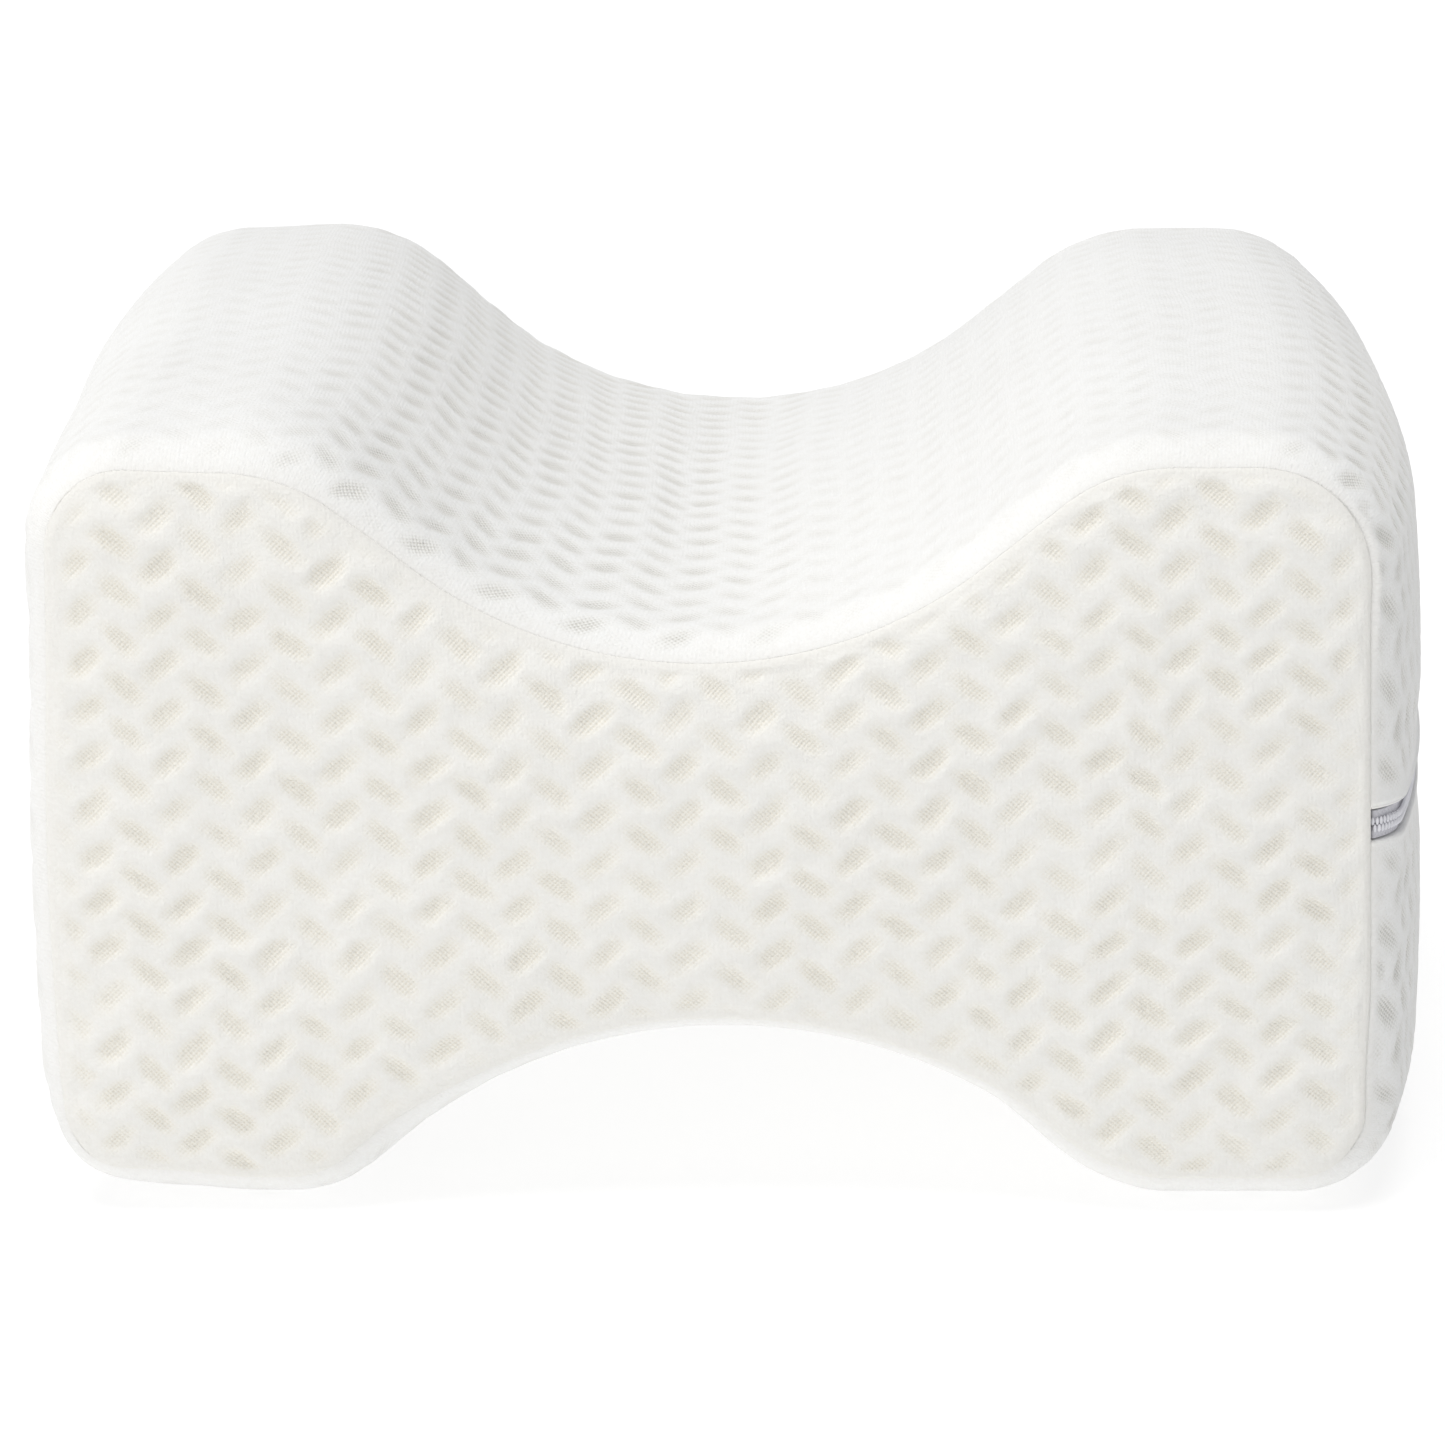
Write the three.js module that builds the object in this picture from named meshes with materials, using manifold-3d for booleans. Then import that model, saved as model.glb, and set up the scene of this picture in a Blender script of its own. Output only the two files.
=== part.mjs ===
// Knee pillow: an hourglass block of foam in a stitched knit cover with a zip in its side band.
// Millimetres. +X is the right side, -Y the front face, +Z up.
// The origin lies on the floor, under the middle of the pillow.

import * as THREE from 'three';
import { mergeVertices } from 'three/addons/utils/BufferGeometryUtils.js';
import Module from 'manifold-3d';

const wasm = await Module();
wasm.setup();

// Overall size, with the width taken half way up.
const WIDTH = 249;
const DEPTH = 200;
const HEIGHT = 145;

// The section seen from the front: a trough for the upper leg over an arch for the lower one.
const CREST_CORNERS = { left: 24, right: 30 };
const TROUGH = { centre: -1.6, depth: 34.6, radius: 71, shoulder: 41, slope: 38 };
const ARCH = { centre: 1.5, depth: 31, radius: 83, shoulder: 27, slope: 41.5 };
const FOOT_CORNERS = { left: 29, right: 24 };
// The feet are pressed flat by this much where they stand.
const FOOT_PRESS = 2;
// Each side flares towards its foot by this much over the whole height.
const FLARE = { left: 0.5, right: 3.4 };
const FLARE_STARTS = 60;

// Along the depth the band bulges in the middle and rounds over to the two seams.
const CROWN_TOP = 4.5;
const CROWN_SIDE = 5.2;
const CROWN_POWER = 2;
const EDGE_RADIUS = 10;
const EDGE_TURN = THREE.MathUtils.degToRad(57);
// The front seam sits to the left of the middle, as the cover has crept on its foam.
const FRONT_SEAM_SHIFT = -4.4;
const FRONT_SEAM_SHIFT_POWER = 3;

// Front and back panels.
const PANEL_BULGE = 2.6;
const PANEL_DOME_WIDTH = 0.42;
const PANEL_THICK = 2.5;
const PANEL_RIM_THICK = 1.2;
// Every piece keeps this gap to its neighbour.
const GAP = 0.3;

// The zip runs from seam to seam across the right side of the band.
const ZIP_HEIGHT = 72;
const ZIP_GROOVE_DEPTH = 2.2;
const ZIP_GROOVE_WIDTH = 5.6;
const ZIP_GROOVE_OVERRUN = 4;
const TAPE_WIDTH = 2.2;
const TAPE_THICK = 0.8;
const COIL_WIDTH = 3;
const COIL_THICK = 1.1;
const SLIDER_AT = 84;
const SLIDER = { length: 8.4, width: 6.2, narrow: 4.4, thick: 1.8, corner: 1 };
const LUG = { length: 5.2, height: 2.2, width: 1.6, openLength: 3.2, openHeight: 1.5 };
const PULL = { length: 19, width: 5, thick: 0.8, corner: 1 };
const EYE = { bar: 1.2, length: 3.4, width: 2.6, corner: 0.4 };
// The pull lies back over the slider, a little raised and hardly leaning.
const PULL_REST = { lift: 0.35, ahead: 0.8, lean: THREE.MathUtils.degToRad(-2) };

// How finely the surfaces are divided.
const SECTION_POINTS = 96;
const BAND_STEPS = 10;
const EDGE_STEPS = 3;
const PANEL_RINGS = [0, 0.05, 0.14, 0.3, 0.55, 0.86];
const ZIP_STEPS = 12;

const COVER_WHITE = 0xf6f5f1;
const PANEL_WHITE = 0xf3f0e8;
const ZIP_GREY = 0xc9c9cf;
const METAL_GREY = 0xb9bcc0;

// Each seam lies at this depth, and the band starts to round over to it at the edge centre.
const SEAM_AT = DEPTH / 2 - PANEL_BULGE;
const EDGE_CENTRE = SEAM_AT - EDGE_RADIUS * Math.sin(EDGE_TURN);
const ZIP_REACH = SEAM_AT - PANEL_RIM_THICK - 2 * GAP;
// The rings of a panel shrink towards this line through the waist.
const SPINE_INSET = 62;
const SPINE_HALF = WIDTH / 2 - SPINE_INSET;
const SPINE_HEIGHT = (HEIGHT - TROUGH.depth + ARCH.depth) / 2;

// Half the span of a dip, from its centre to where its shoulder meets the flat.
function dipHalfSpan(dip) {
  const slope = THREE.MathUtils.degToRad(dip.slope);
  const radii = dip.radius + dip.shoulder;
  const flank = (dip.depth - radii * (1 - Math.cos(slope))) / Math.sin(slope);
  return radii * Math.sin(slope) + flank * Math.cos(slope);
}

// The widest section, clockwise as seen from the front.
function sectionPath() {
  const half = WIDTH / 2;
  const base = -FOOT_PRESS;
  const path = new THREE.Path();
  const right = Math.PI / 2;
  const crest = CREST_CORNERS;
  const foot = FOOT_CORNERS;
  path.moveTo(-half, base + foot.left);
  path.lineTo(-half, HEIGHT - crest.left);
  path.absarc(-half + crest.left, HEIGHT - crest.left, crest.left, 2 * right, right, true);

  const top = dipHalfSpan(TROUGH);
  const topSlope = THREE.MathUtils.degToRad(TROUGH.slope);
  const topShoulder = HEIGHT - TROUGH.shoulder;
  path.absarc(TROUGH.centre - top, topShoulder, TROUGH.shoulder, right, right - topSlope, true);
  path.absarc(TROUGH.centre, HEIGHT - TROUGH.depth + TROUGH.radius, TROUGH.radius,
    3 * right - topSlope, 3 * right + topSlope, false);
  path.absarc(TROUGH.centre + top, topShoulder, TROUGH.shoulder, right + topSlope, right, true);
  path.absarc(half - crest.right, HEIGHT - crest.right, crest.right, right, 0, true);
  path.absarc(half - foot.right, base + foot.right, foot.right, 0, -right, true);

  const low = dipHalfSpan(ARCH);
  const lowSlope = THREE.MathUtils.degToRad(ARCH.slope);
  const lowShoulder = base + ARCH.shoulder;
  path.absarc(ARCH.centre + low, lowShoulder, ARCH.shoulder, -right, -right - lowSlope, true);
  path.absarc(ARCH.centre, base + ARCH.depth - ARCH.radius, ARCH.radius,
    right - lowSlope, right + lowSlope, false);
  path.absarc(ARCH.centre - low, lowShoulder, ARCH.shoulder, -right + lowSlope, -right, true);
  path.absarc(-half + foot.left, base + foot.left, foot.left, -right, -2 * right, true);
  return path;
}

// How far a flaring side stands out at one place of the section.
function flareAt(x, z) {
  const share = THREE.MathUtils.clamp(x / FLARE_STARTS, -1, 1);
  return share * (share > 0 ? FLARE.right : FLARE.left) * (0.5 - z / HEIGHT);
}

// Points of the section with their outward directions, centred on the origin.
const section = (() => {
  const path = sectionPath();
  const points = [];
  for (let i = 0; i < SECTION_POINTS; i++) {
    const along = (i + 0.5) / SECTION_POINTS;
    const place = path.getPoint(along);
    const ahead = path.getTangent(along);
    const x = place.x + flareAt(place.x, place.y);
    points.push({ x, z: place.y, nx: -ahead.y, nz: ahead.x });
  }
  const across = points.map((place) => place.x);
  const middle = (Math.min(...across) + Math.max(...across)) / 2;
  return points.map((place) => ({ ...place, x: place.x - middle }));
})();

// How far the band's surface lies inside the widest section at one place along the depth.
function bandInset(y, nx) {
  const crown = THREE.MathUtils.lerp(CROWN_TOP, CROWN_SIDE, nx * nx);
  const inset = crown * Math.pow(Math.abs(y) / SEAM_AT, CROWN_POWER);
  const past = Math.max(0, Math.abs(y) - EDGE_CENTRE);
  return inset + EDGE_RADIUS - Math.sqrt(EDGE_RADIUS * EDGE_RADIUS - past * past);
}

// How far the cover has crept sideways at one place along the depth.
function seamShift(y) {
  return y < 0 ? FRONT_SEAM_SHIFT * Math.pow(-y / SEAM_AT, FRONT_SEAM_SHIFT_POWER) : 0;
}

// The band's outline at one place along the depth.
function bandRing(y) {
  return section.map(({ x, z, nx, nz }) => {
    const inset = bandInset(y, nx);
    const px = x - inset * nx + seamShift(y);
    return new THREE.Vector3(px, y, Math.max(0, z - inset * nz));
  });
}

// A seam outline shrunk towards the spine, on the dome of a panel.
function panelRing(side, share, behind) {
  const dome = Math.min(1, share / PANEL_DOME_WIDTH);
  const bulge = PANEL_BULGE * Math.sqrt(1 - (1 - dome) * (1 - dome));
  return bandRing(side * SEAM_AT).map((place) => {
    const spineX = THREE.MathUtils.clamp(place.x, -SPINE_HALF, SPINE_HALF);
    return new THREE.Vector3(
      THREE.MathUtils.lerp(place.x, spineX, share),
      side * (SEAM_AT + bulge - behind),
      THREE.MathUtils.lerp(place.z, SPINE_HEIGHT, share),
    );
  });
}

function panelThickness(share) {
  const full = Math.min(1, share / PANEL_RINGS[2]);
  return THREE.MathUtils.lerp(PANEL_RIM_THICK, PANEL_THICK, full);
}

// A closed solid through rings that run clockwise as seen from the front, listed front to back.
// Each end is closed by a fan about the middle of its ring.
function ringSolid(rings) {
  const count = rings[0].length;
  const positions = rings.flat().flatMap((place) => [place.x, place.y, place.z]);
  const index = [];
  for (let r = 0; r < rings.length - 1; r++) {
    for (let i = 0; i < count; i++) {
      const a = r * count + i;
      const b = r * count + (i + 1) % count;
      index.push(a, b, a + count, b, b + count, a + count);
    }
  }
  for (const [ring, first, front] of [
    [rings[0], 0, true],
    [rings[rings.length - 1], (rings.length - 1) * count, false],
  ]) {
    const middle = new THREE.Vector3();
    for (const place of ring) middle.addScaledVector(place, 1 / count);
    const centre = positions.length / 3;
    positions.push(middle.x, middle.y, middle.z);
    for (let i = 0; i < count; i++) {
      const pair = [first + i, first + (i + 1) % count];
      index.push(centre, ...(front ? pair.reverse() : pair));
    }
  }
  const geometry = new THREE.BufferGeometry();
  geometry.setAttribute('position', new THREE.Float32BufferAttribute(positions, 3));
  geometry.setIndex(index);
  return geometry;
}

function toSolid(geometry) {
  const bare = geometry.clone();
  bare.deleteAttribute('normal');
  bare.deleteAttribute('uv');
  const merged = mergeVertices(bare, 1e-4);
  return new wasm.Manifold(new wasm.Mesh({
    numProp: 3,
    vertProperties: new Float32Array(merged.attributes.position.array),
    triVerts: new Uint32Array(merged.index.array),
  }));
}

function toGeometry(solid) {
  const mesh = solid.getMesh();
  const geometry = new THREE.BufferGeometry();
  geometry.setAttribute('position', new THREE.BufferAttribute(mesh.vertProperties, 3));
  geometry.setIndex(new THREE.BufferAttribute(mesh.triVerts, 1));
  return geometry;
}

// The band's side surface at the zip.
const ZIP_SIDE = Math.max(...section.filter(({ z }) => Math.abs(z - ZIP_HEIGHT) < ZIP_GROOVE_WIDTH)
  .map(({ x }) => x));

function sideAt(y) {
  return ZIP_SIDE - bandInset(y, 1) + seamShift(y);
}

// Places along the zip, closer together where the band rounds over to the seams.
const zipStations = (() => {
  const stations = [];
  for (let i = 0; i <= ZIP_STEPS; i++) {
    stations.push(THREE.MathUtils.lerp(-EDGE_CENTRE, EDGE_CENTRE, i / ZIP_STEPS));
  }
  for (let i = 1; i <= EDGE_STEPS; i++) {
    const y = THREE.MathUtils.lerp(EDGE_CENTRE, ZIP_REACH, i / EDGE_STEPS);
    stations.push(y);
    stations.unshift(-y);
  }
  return stations;
})();

// A strip along the zip, between two depths under the side surface and two heights off its middle.
function zipStrip(stations, deep, shallow, low, high) {
  return ringSolid(stations.map((y) => {
    const side = sideAt(THREE.MathUtils.clamp(y, -ZIP_REACH, ZIP_REACH));
    return [[deep, low], [deep, high], [shallow, high], [shallow, low]].map(
      ([under, up]) => new THREE.Vector3(side - under, y, ZIP_HEIGHT + up));
  }));
}

function bodyGeometry() {
  const seat = (share) => panelThickness(share) + GAP;
  const rimAt = SEAM_AT - PANEL_RIM_THICK - GAP;
  const rings = [];
  for (const share of [...PANEL_RINGS].reverse().slice(0, -1)) {
    rings.push(panelRing(-1, share, seat(share)));
  }
  const stations = [];
  for (let i = 0; i <= EDGE_STEPS; i++) {
    stations.push(THREE.MathUtils.lerp(rimAt, EDGE_CENTRE, i / EDGE_STEPS));
  }
  for (const y of stations) rings.push(bandRing(-y));
  for (let i = 1; i < BAND_STEPS; i++) {
    rings.push(bandRing(THREE.MathUtils.lerp(-EDGE_CENTRE, EDGE_CENTRE, i / BAND_STEPS)));
  }
  for (const y of [...stations].reverse()) rings.push(bandRing(y));
  for (const share of PANEL_RINGS.slice(1)) rings.push(panelRing(1, share, seat(share)));

  const end = SEAM_AT + ZIP_GROOVE_OVERRUN;
  const groove = zipStrip([-end, ...zipStations, end], ZIP_GROOVE_DEPTH, -EDGE_RADIUS,
    -ZIP_GROOVE_WIDTH / 2, ZIP_GROOVE_WIDTH / 2);
  return toGeometry(toSolid(ringSolid(rings)).subtract(toSolid(groove)));
}

function panelGeometry(side) {
  const outer = [...PANEL_RINGS].reverse().map((share) => panelRing(side, share, 0));
  const inner = PANEL_RINGS.slice(1).map((share) => panelRing(side, share, panelThickness(share)));
  // The rim carries on the band's rounding.
  const rings = [...outer, bandRing(side * (SEAM_AT - PANEL_RIM_THICK)), ...inner];
  return ringSolid(side < 0 ? rings : rings.reverse());
}

function tapeGeometry(side) {
  const inner = side * GAP;
  const outer = side * (GAP + TAPE_WIDTH);
  const floor = ZIP_GROOVE_DEPTH - GAP;
  return zipStrip(zipStations, floor, floor - TAPE_THICK, Math.min(inner, outer),
    Math.max(inner, outer));
}

function coilGeometry() {
  const low = ZIP_GROOVE_DEPTH - GAP - TAPE_THICK - GAP;
  return zipStrip(zipStations, low, low - COIL_THICK, -COIL_WIDTH / 2, COIL_WIDTH / 2);
}

// An outline extruded along the outward side direction; its first axis is the depth, its second is up.
function sidePlate(shape, thick) {
  const geometry = new THREE.ExtrudeGeometry(shape, { depth: thick, bevelEnabled: false,
    curveSegments: 5 });
  return geometry.applyMatrix4(new THREE.Matrix4().makeBasis(
    new THREE.Vector3(0, 1, 0), new THREE.Vector3(0, 0, 1), new THREE.Vector3(1, 0, 0)));
}

function roundedOutline(fromY, toY, halfStart, halfEnd, radius) {
  const corners = [[fromY, -halfStart], [toY, -halfEnd], [toY, halfEnd], [fromY, halfStart]];
  const shape = new THREE.Shape();
  corners.forEach((corner, i) => {
    const here = new THREE.Vector2(...corner);
    const before = new THREE.Vector2(...corners[(i + 3) % 4]).sub(here).setLength(radius).add(here);
    const after = new THREE.Vector2(...corners[(i + 1) % 4]).sub(here).setLength(radius).add(here);
    if (i === 0) shape.moveTo(before.x, before.y);
    else shape.lineTo(before.x, before.y);
    shape.quadraticCurveTo(here.x, here.y, after.x, after.y);
  });
  shape.closePath();
  return shape;
}

// The slider: a waisted plate with an arched lug. It is built about its own middle.
function sliderGeometry() {
  const half = SLIDER.length / 2;
  const plate = sidePlate(roundedOutline(-half, half, SLIDER.narrow / 2, SLIDER.width / 2,
    SLIDER.corner), SLIDER.thick);
  const arch = new THREE.Shape();
  arch.moveTo(-LUG.length / 2, -GAP);
  arch.lineTo(LUG.length / 2, -GAP);
  arch.lineTo(LUG.openLength / 2, LUG.height);
  arch.lineTo(-LUG.openLength / 2, LUG.height);
  arch.closePath();
  const lug = new THREE.ExtrudeGeometry(arch, { depth: LUG.width, bevelEnabled: false });
  const hole = new THREE.BoxGeometry(LUG.openLength, LUG.openHeight, 2 * LUG.width);
  hole.translate(0, LUG.openHeight / 2, LUG.width / 2);
  const stand = new THREE.Matrix4().makeBasis(new THREE.Vector3(0, 1, 0),
    new THREE.Vector3(1, 0, 0), new THREE.Vector3(0, 0, -1));
  stand.setPosition(SLIDER.thick, 0, LUG.width / 2);
  const raised = toSolid(lug.applyMatrix4(stand)).subtract(toSolid(hole.applyMatrix4(stand)));
  return toGeometry(toSolid(plate).add(raised));
}

// The pull: a flat tab with an eye, built with its end bar at its own middle.
function pullGeometry() {
  const back = EYE.bar / 2;
  const tab = roundedOutline(back - PULL.length, back, PULL.width / 2, PULL.width / 2 - GAP,
    PULL.corner);
  const eyeEnd = back - EYE.bar;
  tab.holes.push(roundedOutline(eyeEnd - EYE.length, eyeEnd, EYE.width / 2, EYE.width / 2,
    EYE.corner));
  return sidePlate(tab, PULL.thick);
}

function cloth(colour) {
  return new THREE.MeshStandardMaterial({ color: colour, roughness: 0.95, metalness: 0 });
}

function piece(name, geometry, material) {
  geometry.computeVertexNormals();
  const mesh = new THREE.Mesh(geometry, material);
  mesh.name = name;
  return mesh;
}

const group = new THREE.Group();
group.add(piece('side_band_body', bodyGeometry(), cloth(COVER_WHITE)));
group.add(piece('front_panel', panelGeometry(-1), cloth(PANEL_WHITE)));
group.add(piece('back_panel', panelGeometry(1), cloth(PANEL_WHITE)));

const zip = new THREE.Group();
zip.add(piece('zip_tape_upper', tapeGeometry(1), cloth(ZIP_GREY)));
zip.add(piece('zip_tape_lower', tapeGeometry(-1), cloth(ZIP_GREY)));
const plastic = new THREE.MeshStandardMaterial({ color: ZIP_GREY, roughness: 0.5, metalness: 0 });
zip.add(piece('zip_coil', coilGeometry(), plastic));

const metal = new THREE.MeshStandardMaterial({ color: METAL_GREY, roughness: 0.35, metalness: 0.7 });
const slider = piece('zip_slider', sliderGeometry(), metal);
const coilTop = sideAt(SLIDER_AT) - (ZIP_GROOVE_DEPTH - 2 * GAP - TAPE_THICK - COIL_THICK);
slider.position.set(coilTop + GAP, SLIDER_AT, ZIP_HEIGHT);
// The side falls away towards the back, so the slider leans with it.
const sliderFront = sideAt(SLIDER_AT - SLIDER.length / 2);
const sliderBack = sideAt(SLIDER_AT + SLIDER.length / 2);
slider.rotation.z = Math.atan2(sliderFront - sliderBack, SLIDER.length);
const pull = piece('zip_pull', pullGeometry(), metal);
pull.position.set(SLIDER.thick + PULL_REST.lift, PULL_REST.ahead, 0);
pull.rotation.z = PULL_REST.lean;
slider.add(pull);
zip.add(slider);
group.add(zip);

export default group;
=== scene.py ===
"""Knee pillow: an hourglass block of foam in a stitched knit cover with a zip in its side band.

The knit has short slanting dimples in a herringbone, filled with an open net. The cover is swollen by a
cloth simulation between its two seams, and the seams, the dimples and the zip are shaped afterwards.
Lengths are in millimetres until a mesh is made. +X is the right side, -Y the front face, +Z up.
"""

import math

import bpy
import numpy as np
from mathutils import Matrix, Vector
from mathutils.kdtree import KDTree


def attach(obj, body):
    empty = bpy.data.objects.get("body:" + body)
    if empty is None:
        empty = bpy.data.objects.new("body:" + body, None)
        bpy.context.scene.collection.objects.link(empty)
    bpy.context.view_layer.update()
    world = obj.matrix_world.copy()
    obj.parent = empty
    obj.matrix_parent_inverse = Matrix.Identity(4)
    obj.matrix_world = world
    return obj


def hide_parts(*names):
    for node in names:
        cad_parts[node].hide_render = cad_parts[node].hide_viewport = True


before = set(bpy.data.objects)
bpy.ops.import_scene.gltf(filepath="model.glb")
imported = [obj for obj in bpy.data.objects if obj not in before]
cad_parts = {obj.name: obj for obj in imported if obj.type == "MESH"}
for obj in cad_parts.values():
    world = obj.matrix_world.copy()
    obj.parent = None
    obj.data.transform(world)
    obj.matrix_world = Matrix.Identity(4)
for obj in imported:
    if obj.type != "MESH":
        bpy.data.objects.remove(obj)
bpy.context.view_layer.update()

MM = 0.001

# Overall size, with the width taken half way up.
WIDTH = 249.0
DEPTH = 200.0
HEIGHT = 145.0

# The section seen from the front: a trough for the upper leg over an arch for the lower one.
CREST_LEFT = 24.0
CREST_RIGHT = 30.0
TROUGH = {"centre": -1.6, "depth": 34.6, "radius": 71.0, "shoulder": 41.0, "slope": 38.0}
ARCH = {"centre": 1.5, "depth": 31.0, "radius": 83.0, "shoulder": 27.0, "slope": 41.5}
FOOT_LEFT = 29.0
FOOT_RIGHT = 24.0
FOOT_PRESS = 2.0
FLARE_LEFT = 0.5
FLARE_RIGHT = 3.4
FLARE_STARTS = 60.0

# Along the depth the band bulges in the middle and rounds over to the two seams.
CROWN_TOP = 4.5
CROWN_SIDE = 5.2
EDGE_RADIUS = 10.0
EDGE_TURN = math.radians(57)
FRONT_SEAM_SHIFT = -4.4
FRONT_SEAM_SHIFT_POWER = 3
PANEL_BULGE = 2.6
DOME_WIDTH = 24.0
SEAM_AT = DEPTH / 2 - PANEL_BULGE
EDGE_CENTRE = SEAM_AT - EDGE_RADIUS * math.sin(EDGE_TURN)
EDGE_LENGTH = EDGE_RADIUS * EDGE_TURN
BAND_LENGTH = 2 * (EDGE_CENTRE + EDGE_LENGTH)

# How the cloth is drawn in to a seam, and how the stitches pucker it.
SEAM_ROLL = 1.6
SEAM_SINK = 0.5
# A loose seam's share of the sink.
LOOSE_SINK = 0.45
PUCKER_PITCH = 3.1
PUCKER_DEPTH = 0.2
PUCKER_REACH = 3.5
# How unevenly the stitches pull, out of 1.
PUCKER_UNEVEN = 0.3
# How firmly a seam is drawn in, out of 1: left and below, and what is added above and on the right.
SEAM_TIGHT = 0.3
SEAM_TIGHT_TOP = 0.15
SEAM_TIGHT_RIGHT = 0.38
# How far the shade in a seam reaches.
SEAM_SHADE = 1.6
# Under the arch the seams lie nearer to the edge, where the band faces down and is clear of the feet.
ARCH_SEAM_OUT = 1.3
ARCH_SEAM_REACH = 6.0
ARCH_FACING = (0.1, 0.7)
ARCH_HEIGHTS = (6, 22)
# A soft welt stands beside the front seam round its upper right corner.
WELT = {"x": 112, "z": 118, "radius": 26, "height": 0.75, "from_seam": 1.5, "width": 0.75}
# The front seam wanders: each spot moves it outwards, fading over its reach behind the seam.
SEAM_WANDERS = [
    {"x": 108, "z": 128, "radius": 26, "out": 1.3, "reach": 22},
    {"x": 113, "z": 22, "radius": 26, "out": -1.7, "reach": 9},
    {"x": -80, "z": 140, "radius": 34, "out": -0.8, "reach": 22},
    {"x": -124, "z": 66, "radius": 52, "out": 1.2, "reach": 22},
    {"x": -115, "z": 8, "radius": 17, "out": 1.9, "reach": 22},
    {"x": -98, "z": -1, "radius": 17, "out": -1.3, "reach": 22},
    {"x": 57, "z": 8, "radius": 16, "out": 1.7, "reach": 22},
]
# Behind the front seam the band stands fuller at the left crest's top and shoulder and the right foot.
FULLNESS = [
    {"x": -72, "z": 143, "radius": 38, "out": 1.4},
    {"x": -115, "z": 126, "radius": 30, "out": 1.1},
    {"x": 112, "z": 8, "radius": 18, "out": 0.8},
]
FULLNESS_REACH = 16.0
# At the back seam it is as full as it is this far behind the front one.
FULLNESS_AT_BACK = 6.0
# Slow waves in the cloth, which grow from a seam over their reach.
BAND_WAVES = {"height": 0.45, "around": 20, "length": 38, "reach": 30}
PANEL_WAVES = {"height": 0.4, "width": 42, "length": 34, "start": 4, "reach": 30, "shift": 9}

# The knit: columns of slanting dimples, with every second column slanting the other way.
COLUMN_PITCH = 14.62
ROW_PITCH = 8.7
DIMPLE_LENGTH = 7.9
DIMPLE_WIDTH = 3.9
DIMPLE_SLANT = math.radians(39)
DIMPLE_POWER = 2.6
# A dimple is deepest up to the first of these shares of its half size, and ends at the second.
DIMPLE_EDGE = (0.15, 1.45)
DIMPLE_RAGGED = 0.16
# The shallowest dimple's share of the depth.
DIMPLE_SHALLOWEST = 0.6
# Depths on the panels, the band's top and its sides, and the hills between the panels' dimples.
DIMPLE_DEPTH = 0.78
BAND_DIMPLE_DEPTH = 0.52
SIDE_DIMPLE_DEPTH = 1.0
HILL_HEIGHT = 0.42
# What the depth loses where the band faces down.
BELOW_SHALLOWER = 0.6
BELOW_FACING = (0.25, 0.75)
# How far the knit strays, in columns and in rows.
STRAY_COLUMNS = 0.05
STRAY_ROWS = 0.07
# The lie of the knit on the front panel: its columns lean more towards the top and its rows bow.
FRONT_COLUMN = 7.51
FRONT_ROW = 14.68
COLUMN_LEAN = 0.0135
COLUMN_LEAN_GROWS = 2.08e-4
ROW_TILT = -0.025
ROW_BOW = -2.0e-4
ROW_TWIST = 1.7e-4
ROW_CLOSES = 8.7e-5
# The dimples grow from FADE_START to the other distances from a seam, and the hills from HILL_START.
FADE_START = 0.8
HILL_START = 1.2
PANEL_FADE = 2.8
PANEL_SIDE_FADE = 6.5
BAND_FADE = 5.0
SIDE_FADE = 2.2
LEFT_FADE = 12.0
BELOW_FADE = 14.0
# The knit is pulled smoother over the crests and where the top faces left: what the depth loses there.
QUIET_CREST = 0.6
CREST_FACING = (0.8, 1.0)
CREST_HEIGHTS = (118, 132)
QUIET_LEFT = 0.7
LEFT_FACING = (-0.25, 0.35)
QUIET_LEAST = 0.3
TOP_FACING = 0.3
# Fine stitches in one column and one row of the pattern.
WALES = 21
COURSES = 13
# Net holes for each stitch.
NET_SCALE = 0.74

# The zip lies in a groove in the right side of the band.
ZIP_HEIGHT = 72.0
GROOVE_DEPTH = 2.2
GROOVE_HALF = 2.8
GROOVE_WALL = 0.3
LIP_HEIGHT = 0.5
LIP_WIDTH = 1.0
# The place and the spread of a lip's crest, in lip widths, and the lower lip's share of the height.
LIP_CREST = 0.45
LIP_SPREAD = 0.35
LIP_LOWER = 0.35
# How near to the zip the side is even, and how near it is free of dimples.
ZIP_STILL = (7, 16)
ZIP_PLAIN = (GROOVE_HALF + 1, GROOVE_HALF + 6)
# The right side is what faces right by more than this.
RIGHT_FACING = 0.9
TAPE_WIDTH = 2.2
TAPE_THICK = 0.8
GAP = 0.3
COIL_HALF = 1.5
TOOTH_PITCH = 0.85
TOOTH_RADIUS = 0.3
TOOTH_FLAT = 1.2
# A turn's half length and the place of its middle, in half widths of the coil.
TURN_LENGTH = 0.5
TURN_PLACE = 0.43
TURN_RINGS = 7
TURN_SIDES = 10
ZIP_REACH = SEAM_AT - 1.2
# The coil starts in front of the tapes' ends, this much deeper, and comes up in a short step.
COIL_START_DEEPER = 1.0
COIL_START_STEP = 0.1
COIL_PATH_POINTS = 900
TAPE_CUTS = 240

# Mesh divisions: across the top, up a side, along the depth, and over a panel.
BAND_ACROSS = 236
BAND_UP = 100
BAND_ALONG = 132
PANEL_ACROSS = 420
PANEL_UP = 206
# Rough lengths of a panel's sides, which size its first cuts.
PANEL_RUN = WIDTH + 40
PANEL_RISE = HEIGHT - 20
# A short way along the band, to find its slant at the seam.
SEAM_STEP = 0.2
# A panel's back lies inside and behind its face. The band's edge is tucked under.
PANEL_BACK_INSET = 1.0
PANEL_THICK = 0.9
BAND_TUCK_INSET = 3.2
BAND_TUCK_DEPTH = 2.6

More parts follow.
